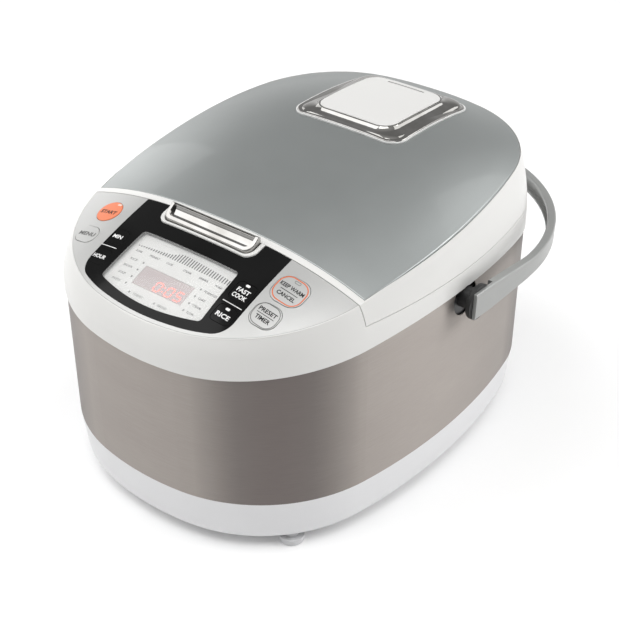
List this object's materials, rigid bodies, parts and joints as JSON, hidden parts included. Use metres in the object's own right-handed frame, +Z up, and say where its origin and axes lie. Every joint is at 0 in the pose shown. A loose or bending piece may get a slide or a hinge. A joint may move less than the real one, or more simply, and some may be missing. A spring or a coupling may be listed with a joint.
{
  "type": "rice cooker",
  "caption": "Oval electric rice cooker with a hinged domed lid, lift-out steam vent, push-button latch, sloping control panel with keys and a folding carry handle",
  "frame": {"origin": "centre of the overall box in X and Y, on the surface the feet stand on", "axes": "+X to the user's right when facing the control panel, +Y from the control panel to the hinge, +Z up"},
  "size_m": [0.3068, 0.4048, 0.2299],
  "materials": {
    "white_plastic": "smooth, semi-gloss",
    "brushed_steel": "horizontally brushed",
    "dark_plastic": "matt",
    "grey_plastic": "matt",
    "silver_paint": "fine metallic lacquer",
    "silver_lid": "metallic lacquer under clear coat",
    "gloss_black": "high gloss",
    "clear_window": "clear, gloss",
    "white_card": "satin",
    "digit_block": "smoked diffuser",
    "circuit_board": "solder resist",
    "zinc_steel": "zinc plated",
    "orange_plastic": "translucent, semi-gloss",
    "chrome": "mirror",
    "white_rubber": "satin silicone",
    "grey_rubber": "matt",
    "aluminium": "satin",
    "pot_coating": "non-stick coating",
    "well_steel": "coated steel",
    "cast_aluminium": "machined casting",
    "element_steel": "annealed",
    "heater_mica": "mica sheet",
    "white_ceramic": "unglazed",
    "brass": "turned",
    "clear_plastic": "clear",
    "handle_grey": "semi-gloss",
    "boss_grey": "satin"
  },
  "bodies": {
    "body": {"collar": "white_plastic", "base_shell": "white_plastic", "steel_band": "brushed_steel", "band_liner": "dark_plastic", "fascia": "silver_paint", "panel_insert": "gloss_black", "display_window": "clear_window", "display_tray": "white_card", "digit_module": "digit_block", "control_board": "circuit_board", "board_screws": "zinc_steel", "tact_switches": "dark_plastic", "latch_bezel": "white_plastic", "latch_frame": "dark_plastic", "latch_pin": "zinc_steel", "hinge_pin": "zinc_steel", "pot_well": "well_steel", "heating_plate": "cast_aluminium", "heating_element": "element_steel", "sensor_housing": "dark_plastic", "side_heater": "heater_mica", "thermal_fuse": "white_ceramic", "power_board": "circuit_board", "board_parts": "dark_plastic", "feet": "grey_rubber", "base_screws": "zinc_steel", "inlet_socket": "dark_plastic", "inlet_pins": "brass", "cup_bracket": "white_plastic", "pivot_bosses": "boss_grey", "pivot_pins": "zinc_steel"},
    "lid": {"lid_ring": "white_plastic", "lid_cover": "silver_lid", "lid_floor": "grey_plastic", "vent_socket": "grey_plastic", "vent_gasket": "white_rubber", "steam_seal": "white_rubber", "inner_plate": "aluminium", "plate_knob": "grey_plastic", "lid_gasket": "white_rubber", "lid_catch": "zinc_steel"},
    "steam_vent": {"vent_surround": "chrome", "vent_cap": "white_plastic", "vent_body": "grey_plastic"},
    "latch_button": {"latch_button": "chrome"},
    "latch_hook": {"latch_hook": "dark_plastic"},
    "pot": {"inner_pot": "pot_coating"},
    "sensor": {"sensor_cap": "aluminium", "sensor_spring": "zinc_steel"},
    "handle": {"handle": "handle_grey", "handle_hubs": "boss_grey"},
    "cup": {"condensation_cup": "clear_plastic"},
    "key_start": {"key_start": "orange_plastic"},
    "key_menu": {"key_menu": "silver_paint"},
    "key_minute": {"key_minute": "gloss_black"},
    "key_hour": {"key_hour": "gloss_black"},
    "key_quick": {"key_quick": "gloss_black"},
    "key_rice": {"key_rice": "gloss_black"},
    "key_cancel": {"key_cancel": "silver_paint"},
    "key_timer": {"key_timer": "silver_paint"}
  },
  "joints": [
    {"name": "lid_hinge", "type": "hinge", "parent": "body", "child": "lid", "pos_m": [0, 0.1472, 0.18], "axis": [-1, 0, 0], "range_deg": [0, 85]},
    {"name": "vent_lift", "type": "slide", "parent": "lid", "child": "steam_vent", "axis": [0, 0.0454, 0.999], "range_m": [0, 0.04]},
    {"name": "latch_press", "type": "slide", "parent": "body", "child": "latch_button", "axis": [0, 0, 1], "range_m": [-0.002, 0], "stiffness_N_per_m": 900, "springref_m": 0.002},
    {"name": "hook_swing", "type": "hinge", "parent": "body", "child": "latch_hook", "pos_m": [0, -0.1176, 0.162], "axis": [1, 0, 0], "range_deg": [0, 16.5]},
    {"name": "pot_turn", "type": "hinge", "parent": "body", "child": "pot", "pos_m": [0, 0.0192, 0.1], "axis": [0, 0, 1], "continuous": true},
    {"name": "sensor_press", "type": "slide", "parent": "body", "child": "sensor", "axis": [0, 0, 1], "range_m": [-0.003, 0], "stiffness_N_per_m": 400, "springref_m": 0.004, "deforming": ["sensor_spring"]},
    {"name": "handle_swing", "type": "hinge", "parent": "body", "child": "handle", "pos_m": [0, -0.0108, 0.1495], "axis": [1, 0, 0], "range_deg": [0, 93.4]},
    {"name": "cup_slide", "type": "slide", "parent": "body", "child": "cup", "axis": [0, 1, 0], "range_m": [0, 0.03]},
    {"name": "start_press", "type": "slide", "parent": "body", "child": "key_start", "axis": [0, -0.3338, 0.9426], "range_m": [-0.0008, 0], "stiffness_N_per_m": 700, "springref_m": 0.0006},
    {"name": "menu_press", "type": "slide", "parent": "body", "child": "key_menu", "axis": [0, -0.3338, 0.9426], "range_m": [-0.0008, 0], "stiffness_N_per_m": 700, "springref_m": 0.0006},
    {"name": "minute_press", "type": "slide", "parent": "body", "child": "key_minute", "axis": [0, -0.3338, 0.9426], "range_m": [-0.0008, 0], "stiffness_N_per_m": 700, "springref_m": 0.0006},
    {"name": "hour_press", "type": "slide", "parent": "body", "child": "key_hour", "axis": [0, -0.3338, 0.9426], "range_m": [-0.0008, 0], "stiffness_N_per_m": 700, "springref_m": 0.0006},
    {"name": "quick_press", "type": "slide", "parent": "body", "child": "key_quick", "axis": [0, -0.3338, 0.9426], "range_m": [-0.0008, 0], "stiffness_N_per_m": 700, "springref_m": 0.0006},
    {"name": "rice_press", "type": "slide", "parent": "body", "child": "key_rice", "axis": [0, -0.3338, 0.9426], "range_m": [-0.0008, 0], "stiffness_N_per_m": 700, "springref_m": 0.0006},
    {"name": "cancel_press", "type": "slide", "parent": "body", "child": "key_cancel", "axis": [0, -0.3338, 0.9426], "range_m": [-0.0008, 0], "stiffness_N_per_m": 700, "springref_m": 0.0006},
    {"name": "timer_press", "type": "slide", "parent": "body", "child": "key_timer", "axis": [0, -0.3338, 0.9426], "range_m": [-0.0008, 0], "stiffness_N_per_m": 700, "springref_m": 0.0006}
  ],
  "couplings": [
    {"joint": "hook_swing", "follows": "latch_press", "rad_per_m": -142}
  ]
}
